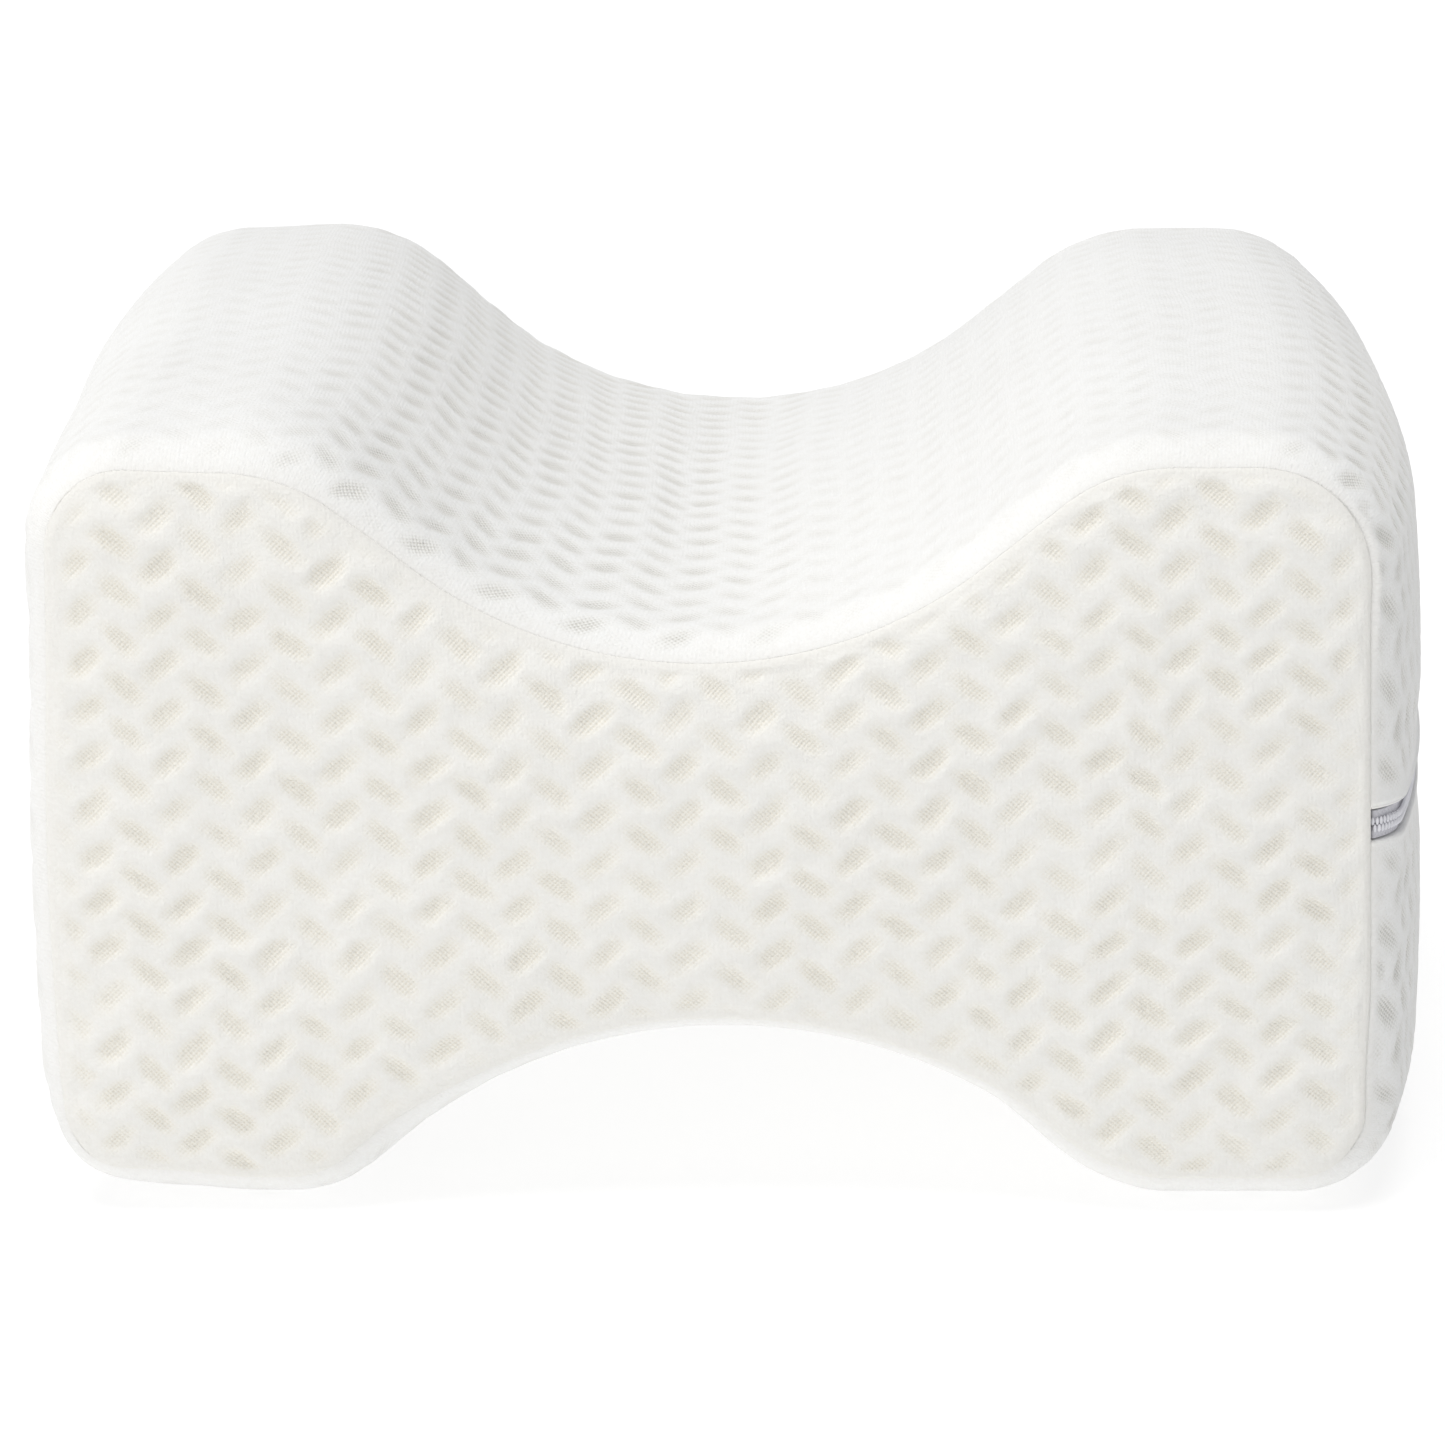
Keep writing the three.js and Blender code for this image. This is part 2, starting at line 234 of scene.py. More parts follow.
# Cloth simulation: a coarse cover, a little slack of its size, is blown up between its pinned seams.
COARSE_ACROSS = 50
COARSE_UP = 22
COARSE_ALONG = 36
SLACK = 1.6
PRESSURE = 4.0
FRAMES = 20
SWELL_CAP = 0.7
# How far from a seam the swelling is full, and the panels' share of it.
SWELL_REACH = 14.0
PANEL_SWELL = 0.6
BAND_SOFTENING = 8
PANEL_SOFTENING = 10
# A panel's rough size, for distances on the coarse cover.
COARSE_WIDTH = 240
COARSE_HEIGHT = 110

# One seed for each use of chance.
SEEDS = {"band_waves": 11, "band_knit": 21, "front_knit": 31, "back_knit": 41, "panel_waves": 51,
         "hills": 61, "ragged": 71, "depths": 72}
NOISE_SIZE = 64


def smooth_step(low, high, value):
    share = np.clip((value - low) / (high - low), 0, 1)
    return share * share * (3 - 2 * share)


def unit(vectors):
    return vectors / np.maximum(np.linalg.norm(vectors, axis=-1, keepdims=True), 1e-9)


def arc(x, z, radius, start, end, hollow=False, steps=48):
    """Points and outward directions along an arc, from one angle to another in degrees."""
    turn = np.radians(np.linspace(start, end, steps))
    out = np.stack([np.cos(turn), np.sin(turn)], 1)
    return np.array([x, z]) + radius * out, -out if hollow else out


def dip_half_span(dip):
    """Half the span of a dip, from its centre to where its shoulder meets the flat."""
    slope = math.radians(dip["slope"])
    radii = dip["radius"] + dip["shoulder"]
    flank = (dip["depth"] - radii * (1 - math.cos(slope))) / math.sin(slope)
    return radii * math.sin(slope) + flank * math.cos(slope)


def dip_arcs(dip, level, up):
    """A dip's shoulder, hollow and other shoulder, in the top run for up = 1, in the bottom one for -1."""
    middle, slope, wide = dip["centre"], dip["slope"], up * dip_half_span(dip)
    shoulder, radius, flat = dip["shoulder"], dip["radius"], 90 * up
    hollow = (middle, level - up * (dip["depth"] - radius), radius)
    return [
        arc(middle - wide, level - up * shoulder, shoulder, flat, flat - slope),
        arc(*hollow, 180 + flat - slope, 180 + flat + slope, True),
        arc(middle + wide, level - up * shoulder, shoulder, flat + slope, flat),
    ]


def section_sides():
    """The widest section as four runs, left, top, right and bottom, clockwise seen from the front."""
    half = WIDTH / 2
    base = -FOOT_PRESS
    crest_left = (-half + CREST_LEFT, HEIGHT - CREST_LEFT, CREST_LEFT)
    crest_right = (half - CREST_RIGHT, HEIGHT - CREST_RIGHT, CREST_RIGHT)
    foot_left = (-half + FOOT_LEFT, base + FOOT_LEFT, FOOT_LEFT)
    foot_right = (half - FOOT_RIGHT, base + FOOT_RIGHT, FOOT_RIGHT)
    left = [arc(*foot_left, 225, 180), arc(*crest_left, 180, 135)]
    top = [arc(*crest_left, 135, 90), *dip_arcs(TROUGH, HEIGHT, 1), arc(*crest_right, 90, 45)]
    right = [arc(*crest_right, 45, 0), arc(*foot_right, 0, -45)]
    bottom = [arc(*foot_right, -45, -90), *dip_arcs(ARCH, base, -1), arc(*foot_left, -90, -135)]
    return [left, top, right, bottom]


def edge_dense(count, length, first=0.14, growth=1.55):
    """Shares from 0 to 1 of a run, with steps that start small at both ends and grow to even ones."""
    even = length / count
    ends = [0.0]
    step = first
    while step < even:
        ends.append(ends[-1] + step)
        step *= growth
    inner = count - 2 * len(ends) + 2
    near = np.array(ends) / length
    middle = np.linspace(near[-1], 1 - near[-1], inner + 1)[1:-1]
    return np.concatenate([near, middle, 1 - near[::-1]])


def edge_inset(y, crown):
    """How far the surface lies inside the widest section at a place along the depth."""
    past = np.maximum(0, np.abs(y) - EDGE_CENTRE)
    return crown * (y / SEAM_AT) ** 2 + EDGE_RADIUS - np.sqrt(EDGE_RADIUS**2 - past**2)


def seam_shift(y):
    """How far the front half is drawn to the left."""
    return np.where(y < 0, FRONT_SEAM_SHIFT * np.abs(y / SEAM_AT) ** FRONT_SEAM_SHIFT_POWER, 0)


class Section:
    """The closed section, cut into points, clockwise seen from the front.
    Each argument holds the rising shares, from 0 to 1, at which that side is cut."""

    def __init__(self, left, top, right, bottom):
        rows, along, around, before = [], [], [], 0.0
        for side, (arcs, shares) in enumerate(zip(section_sides(), (left, top, right, bottom))):
            place = np.concatenate([a[0] for a in arcs])
            out = np.concatenate([a[1] for a in arcs])
            run = np.concatenate([[0], np.cumsum(np.hypot(*np.diff(place, axis=0).T))])
            keep = np.concatenate([[True], np.diff(run) > 1e-6])
            place, out, run = place[keep], out[keep], run[keep]
            at = shares[:-1] * run[-1]
            rows.append(np.stack([np.interp(at, run, c) for c in (*place.T, *out.T)], 1))
            along.append(before + at)
            around.append(side + shares[:-1])
            before += run[-1]
        ring = np.concatenate(rows)
        # How far round each point lies: in millimetres, and as its side's number plus its share.
        self.along = np.concatenate(along)
        self.around = np.concatenate(around)
        self.length = before
        self.out = unit(ring[:, 2:])
        share = np.clip(ring[:, 0] / FLARE_STARTS, -1, 1)
        flare = np.where(share > 0, FLARE_RIGHT, FLARE_LEFT)
        self.z = ring[:, 1]
        self.x = ring[:, 0] + share * flare * (0.5 - self.z / HEIGHT)
        self.x -= (self.x.min() + self.x.max()) / 2

    def points(self, t):
        """The band's surface, one row of points for each distance t along it from the front seam."""
        y = depth_at(t)[:, None]
        out_x, out_z = self.out.T
        crown = CROWN_TOP + (CROWN_SIDE - CROWN_TOP) * out_x**2
        inset = edge_inset(y, crown)
        for spot in SEAM_WANDERS:
            inset = inset - self.nearness(spot) * (1 - smooth_step(0, spot["reach"], t))[:, None]
        behind = smooth_step(0, FULLNESS_REACH, np.minimum(t, BAND_LENGTH - t + FULLNESS_AT_BACK))
        for spot in FULLNESS:
            inset = inset - self.nearness(spot) * behind[:, None]
        near_seam = 1 - smooth_step(0, ARCH_SEAM_REACH, np.minimum(t, BAND_LENGTH - t))
        in_arch = smooth_step(*ARCH_FACING, -out_z) * smooth_step(*ARCH_HEIGHTS, self.z)
        inset = inset - ARCH_SEAM_OUT * in_arch * near_seam[:, None]
        px = self.x - inset * out_x + seam_shift(y)
        return np.stack([px, np.broadcast_to(y, px.shape), self.z - inset * out_z], -1)

    def nearness(self, spot):
        """How far a spot moves each point outwards."""
        near = np.hypot(self.x - spot["x"], self.z - spot["z"]) / spot["radius"]
        return spot["out"] * (1 - smooth_step(0, 1, near))


def seam_tightness(ring):
    """How firmly the seams are drawn in at each point of the section, from 0 to 1."""
    out_x, out_z = ring.out.T
    return SEAM_TIGHT + SEAM_TIGHT_TOP * np.maximum(0, out_z) + SEAM_TIGHT_RIGHT * np.maximum(0, out_x) ** 2


def depth_at(t):
    """The place along the depth at a distance along the band from its front seam."""
    from_seam = np.minimum(t, BAND_LENGTH - t)
    turn = np.maximum(0, (EDGE_LENGTH - from_seam) / EDGE_RADIUS)
    y = EDGE_CENTRE + EDGE_RADIUS * np.sin(turn) - np.maximum(0, from_seam - EDGE_LENGTH)
    return np.where(t < BAND_LENGTH / 2, -y, y)


def groove_shares(count):
    """Cuts of the right side that follow the walls and the lip of the zip's groove."""
    quarter = math.pi / 4
    straight = HEIGHT - CREST_RIGHT - (FOOT_RIGHT - FOOT_PRESS)
    length = CREST_RIGHT * quarter + straight + FOOT_RIGHT * quarter
    wall = [GROOVE_HALF + k * GROOVE_WALL / 2 for k in (-2, -1, 0, 1, 2)]
    lip = [GROOVE_HALF + GROOVE_WALL + LIP_WIDTH * k / 4 for k in (1, 2, 3, 4, 5, 6)]
    offsets = np.array([0, 1.25, *wall, *lip])
    offsets = np.concatenate([offsets[::-1], -offsets[1:]])
    near = (CREST_RIGHT * quarter + HEIGHT - CREST_RIGHT - ZIP_HEIGHT - offsets) / length
    rest = count + 1 - len(near)
    above = round(rest * near[0] / (near[0] + 1 - near[-1]))
    return np.concatenate([np.linspace(0, near[0], above + 1)[:-1], near,
                           np.linspace(near[-1], 1, rest - above + 1)[1:]])


def outline_index(across, up):
    """For a grid of up + 1 rows and across + 1 columns, from the bottom left: the place of each rim
    point in the ring that runs up the left side, over the top, down the right and back below."""
    index = np.full((up + 1, across + 1), -1)
    index[:, 0] = np.arange(up + 1)
    index[-1, :] = up + np.arange(across + 1)
    index[:, -1] = up + across + np.arange(up + 1)[::-1]
    index[0, 1:] = 2 * up + across + np.arange(across)[::-1]
    return index


def coons(ring, index, u, v):
    """Fills the closed ring with a grid; u and v are the rising shares of its columns and rows."""
    u, v = u[None, :, None], v[:, None, None]
    left, right = ring[index[:, 0]], ring[index[:, -1]]
    low, high = ring[index[0]], ring[index[-1]]
    corners = ((1 - u) * (1 - v) * low[0] + u * (1 - v) * low[-1]
               + (1 - u) * v * high[0] + u * v * high[-1])
    return (1 - u) * left[:, None] + u * right[:, None] + (1 - v) * low + v * high - corners


def dome(distance):
    """How far a panel stands out of its seam's plane, at a distance from the seam."""
    share = np.minimum(1, distance / DOME_WIDTH)
    return PANEL_BULGE * np.sqrt(1 - (1 - share) ** 2)


def lattice_noise(x, y, seed):
    """Smooth noise from about -1 to 1, with one random value for each unit of x and y."""
    size = NOISE_SIZE
    field = np.random.default_rng(seed).uniform(-1, 1, (size, size))
    x, y = np.broadcast_arrays(x, y)
    column, row = np.floor(x).astype(int), np.floor(y).astype(int)
    u, v = x - column, y - row
    u, v = u * u * (3 - 2 * u), v * v * (3 - 2 * v)
    left, right, below, above = (n % size for n in (column, column + 1, row, row + 1))
    low = field[below, left] * (1 - u) + field[below, right] * u
    high = field[above, left] * (1 - u) + field[above, right] * u
    return low * (1 - v) + high * v


def dimple_share(column, row):
    """0 on the raised knit and 1 in the middle of a dimple, from places counted in columns and rows."""
    share = np.zeros_like(column)
    ragged = 1 + DIMPLE_RAGGED * lattice_noise(column * 8 + 3, row * 5 + 3, SEEDS["ragged"])
    depths = np.random.default_rng(SEEDS["depths"]).uniform(DIMPLE_SHALLOWEST, 1, (NOISE_SIZE, NOISE_SIZE))
    for offset, slant in ((0.0, DIMPLE_SLANT), (0.5, -DIMPLE_SLANT)):
        across = (column - offset - np.round(column - offset)) * COLUMN_PITCH
        upward = -(row - offset - np.round(row - offset)) * ROW_PITCH
        length = np.abs(across * math.cos(slant) + upward * math.sin(slant)) * 2 / DIMPLE_LENGTH
        width = np.abs(-across * math.sin(slant) + upward * math.cos(slant)) * 2 / DIMPLE_WIDTH
        reach = ragged * (length**DIMPLE_POWER + width**DIMPLE_POWER) ** (1 / DIMPLE_POWER)
        place = [np.round(value - offset).astype(int) % NOISE_SIZE for value in (row, column)]
        share = np.maximum(share, depths[tuple(place)] * (1 - smooth_step(*DIMPLE_EDGE, reach)))
    return share


def uneven(column, row, seed):
    """The knit's places with the slight unevenness of cloth pulled over by hand."""
    moved = column + STRAY_COLUMNS * lattice_noise(column * 0.9, row * 0.55, seed)
    return moved, row + STRAY_ROWS * lattice_noise(column * 0.8, row * 0.6, seed + 1)


def grid_faces(index, closed=False):
    """Quads between neighbouring points of a grid of point numbers."""
    after = np.roll(index, -1, 1) if closed else index[:, 1:]
    here = index if closed else index[:, :-1]
    quads = [here[:-1], after[:-1], after[1:], here[1:]]
    return np.stack([q.ravel() for q in quads], 1)


def corner_values(grid, closed=False, last=None):
    """A grid of values at the corners of grid_faces' quads; last stands in after a closed grid's end."""
    if closed:
        grid = np.concatenate([grid, last], 1)
    corners = [grid[:-1, :-1], grid[:-1, 1:], grid[1:, 1:], grid[1:, :-1]]
    return np.stack([c.ravel() for c in corners], 1)


def tube_faces(points):
    """Faces round a row of rings, with one more over each end."""
    index = np.arange(points.shape[0] * points.shape[1]).reshape(points.shape[:2])
    return [grid_faces(index, closed=True), index[:1, ::-1], index[-1:]]


def make_object(name, points, faces, uv=None, values=None, hard=()):
    """A smooth mesh object from points in millimetres. faces is a list of arrays, each with one row
    a face. uv holds a pair for each corner, and values one number a point for each named layer.
    hard holds the slices of faces that aren't shaded smooth."""
    mesh = bpy.data.meshes.new(name)
    sizes = np.concatenate([np.full(len(f), f.shape[1]) for f in faces]).astype(np.int32)
    loops = np.concatenate([f.ravel() for f in faces]).astype(np.int32)
    mesh.vertices.add(len(points))
    mesh.vertices.foreach_set("co", (points * MM).astype(np.float32).ravel())
    mesh.loops.add(len(loops))
    mesh.loops.foreach_set("vertex_index", loops)
    mesh.polygons.add(len(sizes))
    mesh.polygons.foreach_set("loop_start", (np.cumsum(sizes) - sizes).astype(np.int32))
    mesh.polygons.foreach_set("loop_total", sizes)
    mesh.update(calc_edges=True)
    if uv is not None:
        flat = np.zeros((len(loops), 2), np.float32)
        flat[: uv.size // 2] = uv.reshape(-1, 2)
        mesh.uv_layers.new(name="knit").data.foreach_set("uv", flat.ravel())
    for label, numbers in (values or {}).items():
        layer = mesh.attributes.new(label, "FLOAT", "POINT")
        layer.data.foreach_set("value", numbers.astype(np.float32))
    smooth = np.ones(len(sizes), bool)
    for run in hard:
        smooth[run] = False
    mesh.polygons.foreach_set("use_smooth", smooth)
    thing = bpy.data.objects.new(name, mesh)
    bpy.context.scene.collection.objects.link(thing)
    return thing


def ring_normals(points):
    """Outward directions of a band grid."""
    around = np.roll(points, -1, 1) - np.roll(points, 1, 1)
    down = np.gradient(points, axis=0)
    return unit(np.cross(around, down))


def blow_up():
    """Swells a coarse cover between its pinned seams with Blender's cloth.
    Returns how far the band's and the two panels' grids swell, in millimetres."""
    across, up = np.linspace(0, 1, COARSE_ACROSS + 1), np.linspace(0, 1, COARSE_UP + 1)
    ring = Section(up, across, up, across)
    t = np.linspace(0, BAND_LENGTH, COARSE_ALONG + 1)
    band = ring.points(t)
    normals = ring_normals(band)
    slack = SLACK * smooth_step(0, SWELL_REACH, np.minimum(t, BAND_LENGTH - t))
    count = band.shape[1]
    band_index = np.arange(band.shape[0] * count).reshape(-1, count)
    start = [(band - slack[:, None, None] * normals).reshape(-1, 3)]
    outward = [normals.reshape(-1, 3)]
    faces = [grid_faces(band_index, closed=True)]
    rim = outline_index(COARSE_ACROSS, COARSE_UP)
    panel_index = []
    total = band_index.size
    for row, side in ((0, -1), (-1, 1)):
        grid = coons(band[row], rim, across, up)
        from_side = np.minimum(across, 1 - across)[None] * COARSE_WIDTH
        near = np.minimum(from_side, np.minimum(up, 1 - up)[:, None] * COARSE_HEIGHT)
        grid[..., 1] += side * (dome(near) - SLACK * smooth_step(0, SWELL_REACH, near))
        inner = rim < 0
        index = np.where(inner, total + np.cumsum(inner).reshape(inner.shape) - 1, band_index[row][rim])
        total += inner.sum()
        start.append(grid[inner])
        outward.append(np.tile([0.0, side, 0.0], (inner.sum(), 1)))
        faces.append(grid_faces(index) if side < 0 else grid_faces(index)[:, ::-1])
        panel_index.append(index)
    start, outward = np.concatenate(start), np.concatenate(outward)
    cover = make_object("cover_simulation", start, faces)
    pinned = cover.vertex_groups.new(name="seams")
    pinned.add([int(k) for k in (*band_index[0], *band_index[-1])], 1.0, "REPLACE")
    cloth = cover.modifiers.new("cloth", "CLOTH")
    cloth.settings.quality = 5
    cloth.settings.vertex_group_mass = "seams"
    cloth.settings.use_pressure = True
    cloth.settings.uniform_pressure_force = PRESSURE
    cloth.settings.effector_weights.gravity = 0
    cloth.point_cache.frame_start, cloth.point_cache.frame_end = 1, FRAMES
    scene = bpy.context.scene
    for number in range(1, FRAMES + 1):
        scene.frame_set(number)
    result = cover.evaluated_get(bpy.context.evaluated_depsgraph_get()).data
    ended = np.empty(len(start) * 3, np.float32)
    result.vertices.foreach_get("co", ended)
    bpy.data.objects.remove(cover)
    scene.frame_set(1)
    swell = ((ended.reshape(-1, 3) / MM - start) * outward).sum(1)
    print("cloth swell: median", np.median(swell), "from", swell.min(), "to", swell.max())
    uneven_part = swell * SLACK / max(np.median(swell), 1e-6) - SLACK
    swell = SLACK + SWELL_CAP * np.tanh(uneven_part / SLACK)
    return [swell[band_index], *(swell[index] for index in panel_index)]


def softened(grid, passes, closed=False):
    """A grid with each value drawn towards its neighbours, several times."""
    for _ in range(passes):
        grid = np.concatenate([grid[:1], (grid[:-2] + 2 * grid[1:-1] + grid[2:]) / 4, grid[-1:]])
        if closed:
            grid = (np.roll(grid, 1, 1) + 2 * grid + np.roll(grid, -1, 1)) / 4
        else:
            inner = (grid[:, :-2] + 2 * grid[:, 1:-1] + grid[:, 2:]) / 4
            grid = np.concatenate([grid[:, :1], inner, grid[:, -1:]], 1)
    return grid


def resampled(grid, rows, columns, closed=False):
    """A coarse grid read at finer places, given as shares of its rows and columns."""
    if closed:
        grid = np.concatenate([grid, grid[:, :1]], 1)
    r, c = rows * (grid.shape[0] - 1), columns * (grid.shape[1] - 1)
    tall = np.stack([np.interp(r, np.arange(grid.shape[0]), line) for line in grid.T], 1)
    return np.stack([np.interp(c, np.arange(grid.shape[1]), line) for line in tall])


def seam_sink(distance, along, tight):
    """How deep the cloth is drawn in at a distance from the seam, puckered at every stitch."""
    share = 1 - np.minimum(1, distance / SEAM_ROLL)
    firm = smooth_step(SEAM_TIGHT, 1, tight)
    roll = SEAM_SINK * (firm * (1 - np.sqrt(1 - share**2)) + (1 - firm) * LOOSE_SINK * share**2)
    stitch = 0.5 + 0.5 * np.cos(2 * math.pi * along / PUCKER_PITCH)
    pull = stitch * (1 - PUCKER_UNEVEN + PUCKER_UNEVEN * np.sin(along * 0.37) * np.sin(along * 0.11))
    near = (1 - smooth_step(0, PUCKER_REACH, distance)) * smooth_step(0, SEAM_ROLL, distance)
    return tight * (roll + PUCKER_DEPTH * pull * near)


def seam_direction(band_out, side):
    """The way into a seam: between the band's inward direction and the panel's."""
    return -unit(band_out + np.array([0.0, side, 0.0]))


def band_swelling(ring, t, from_seam, swell):
    """How far the band's cloth stands out, by the simulation and by slow waves."""
    side = np.floor(ring.around).astype(int)
    counts = np.array([COARSE_UP, COARSE_ACROSS, COARSE_UP, COARSE_ACROSS])
    starts = np.cumsum(counts) - counts
    coarse = (starts[side] + (ring.around - side) * counts[side]) / counts.sum()
    read = resampled(swell, t / BAND_LENGTH, coarse, closed=True)
    swelling = softened(read, BAND_SOFTENING, closed=True) - SLACK
    around = ring.along / ring.length * BAND_WAVES["around"]
    noise = lattice_noise(around, t[:, None] / BAND_WAVES["length"], SEEDS["band_waves"])
    waves = BAND_WAVES["height"] * noise * smooth_step(0, BAND_WAVES["reach"], from_seam)
    return swelling * smooth_step(0, SWELL_REACH, from_seam) + waves


def band_dimples(ring, from_seam, beside_zip, column, row):
    """How deep the band's dimples are, out of 1."""
    out_x, out_z = ring.out.T
    to_right, to_left = np.maximum(0, out_x), np.maximum(0, -out_x)
    fade_end = BAND_FADE + (SIDE_FADE - BAND_FADE) * to_right**2 + (LEFT_FADE - BAND_FADE) * to_left
    fade_end = fade_end + (BELOW_FADE - BAND_FADE) * np.maximum(0, -out_z)
    fade = smooth_step(FADE_START, fade_end, from_seam)
    on_crest = smooth_step(*CREST_FACING, out_z) * smooth_step(*CREST_HEIGHTS, ring.z)
    quiet = 1 - QUIET_CREST * on_crest - QUIET_LEFT * smooth_step(*LEFT_FACING, -out_x)
    quiet = np.where(out_z > TOP_FACING, np.maximum(quiet, QUIET_LEAST), 1)
    near_zip = np.where(out_x > RIGHT_FACING, smooth_step(*ZIP_PLAIN, beside_zip), 1)
    return dimple_share(column, row) * fade * near_zip * quiet


def dimple_depth(ring):
    """The full depth of a dimple round the band: deepest on the sides, shallower below."""
    out_x, out_z = ring.out.T
    depth = BAND_DIMPLE_DEPTH + (SIDE_DIMPLE_DEPTH - BAND_DIMPLE_DEPTH) * np.abs(out_x) ** 2
    return depth * (1 - BELOW_SHALLOWER * smooth_step(*BELOW_FACING, -out_z))


def groove_depth(ring, beside_zip):
    """How deep the zip's groove lies round the band, with a lip that stands out along each edge."""
    on_right = ring.out[:, 0] > RIGHT_FACING
    groove = np.where(on_right, 1 - smooth_step(-GROOVE_WALL, GROOVE_WALL, beside_zip - GROOVE_HALF), 0)
    place = (beside_zip - GROOVE_HALF - GROOVE_WALL) / LIP_WIDTH
    lip = np.where(on_right, np.exp(-((place - LIP_CREST) / LIP_SPREAD) ** 2), 0)
    lip *= np.where(ring.z > ZIP_HEIGHT, 1.0, LIP_LOWER)
    return GROOVE_DEPTH * groove - LIP_HEIGHT * lip * (1 - groove)


def welt_height(ring, t):
    """How far the soft welt beside the front seam stands out."""
    place = np.hypot(ring.x - WELT["x"], ring.z - WELT["z"]) / WELT["radius"]
    ridge = np.exp(-((t[:, None] - WELT["from_seam"]) / WELT["width"]) ** 2)
    return WELT["height"] * ridge * (1 - smooth_step(0.4, 1, place))


def build_band(swell):
    up = np.linspace(0, 1, BAND_UP + 1)
    across = np.linspace(0, 1, BAND_ACROSS + 1)
    ring = Section(up, across, groove_shares(BAND_UP), across)
    t = edge_dense(BAND_ALONG, BAND_LENGTH) * BAND_LENGTH
    base = ring.points(t)
    out = ring_normals(base)
    from_seam = np.minimum(t, BAND_LENGTH - t)[:, None]
    beside_zip = np.abs(ring.z - ZIP_HEIGHT)
    still = np.where(ring.out[:, 0] > RIGHT_FACING, smooth_step(*ZIP_STILL, beside_zip), 1)

    columns_round = round(ring.length / COLUMN_PITCH)
    column = ring.along / ring.length * columns_round
    column, row = uneven(column, t[:, None] / ROW_PITCH, SEEDS["band_knit"])
    dimple = band_dimples(ring, from_seam, beside_zip, column, row)
    under = dimple_depth(ring) * dimple - band_swelling(ring, t, from_seam, swell) * still
    under = under + groove_depth(ring, beside_zip) - welt_height(ring, t)
    points = base - under[..., None] * out

    tight = seam_tightness(ring)
    sink = seam_sink(from_seam, ring.along[None], tight)
    for front, side in ((t < BAND_LENGTH / 2, -1), (t >= BAND_LENGTH / 2, 1)):
        way = seam_direction(out[0] if side < 0 else out[-1], side)
        points[front] += sink[front][..., None] * way
    tucked = []
    for end, side in ((0, -1), (-1, 1)):
        rim = points[end].copy()
        rim[:, [0, 2]] -= BAND_TUCK_INSET * ring.out
        rim[:, 1] -= side * BAND_TUCK_DEPTH
        tucked.append(rim)
    points = np.concatenate([tucked[0][None], points, tucked[1][None]])
    points[..., 2] = np.maximum(points[..., 2], 0)

    # The tucked rims repeat the knit's end rows, and carry no dimples and no seam.
    faces = tube_faces(points)
    repeated = [np.concatenate([g[:1], g, g[-1:]]) for g in (column, row)]
    last = [repeated[0][:, :1] + columns_round, repeated[1][:, :1]]
    uv = np.stack([corner_values(g, True, l) for g, l in zip(repeated, last)], -1)
    # How strong the painted shade along the seam is at each point.
    seam = np.exp(-((from_seam / SEAM_SHADE) ** 2)) * tight
    blank = np.zeros((1, points.shape[1]))
    values = {name: np.concatenate([blank, grid, blank]).ravel()
              for name, grid in (("dimple", dimple), ("seam", seam))}
    around = points.shape[1]
    hard = [slice(0, around), slice(len(faces[0]) - around, None)]
    return make_object("side_band_cover", points.reshape(-1, 3), faces, uv, values, hard)


def front_lattice(x, z):
    """Columns and rows of the knit on the front panel."""
    column = FRONT_COLUMN + (x + COLUMN_LEAN * z + COLUMN_LEAN_GROWS * z * z) / COLUMN_PITCH
    height = z + ROW_TILT * x + ROW_BOW * x * x + ROW_TWIST * x * z + ROW_CLOSES * z * z
    return column, FRONT_ROW - height / ROW_PITCH


def nearest_on_seam(grid, seam_line):
    """For each point of a grid: the number of the nearest seam point, and its distance."""
    tree = KDTree(len(seam_line))
    for k, point in enumerate(seam_line):
        tree.insert(Vector(point), k)
    tree.balance()
    found = [tree.find(Vector(p)) for p in grid.reshape(-1, 3)]
    nearest = np.array([f[1] for f in found]).reshape(grid.shape[:2])
    return nearest, np.array([f[2] for f in found]).reshape(grid.shape[:2])


def panel_relief(x, z, column, row, distance, dimple, swell):
    """How far a panel stands out of its seam's plane."""
    swelling = (swell - SLACK) * smooth_step(0, SWELL_REACH, distance)
    shape = PANEL_WAVES
    noise = lattice_noise(x / shape["width"] + shape["shift"], z / shape["length"] + shape["shift"],
                          SEEDS["panel_waves"])
    waves = shape["height"] * noise * smooth_step(shape["start"], shape["reach"], distance)
    hills = HILL_HEIGHT * lattice_noise(column * 2 + 5, row * 2 + 5, SEEDS["hills"])
    hills = hills * smooth_step(HILL_START, PANEL_FADE, distance) * (1 - dimple)
    return dome(distance) + swelling * PANEL_SWELL + waves + hills - DIMPLE_DEPTH * dimple


def flat_size(outline):
    """Width and height of a closed outline, and its area."""
    shifted = np.roll(outline, -1, 0)
    area = abs((outline[:, 0] * shifted[:, 1] - outline[:, 1] * shifted[:, 0]).sum()) / 2
    return np.ptp(outline, axis=0), area


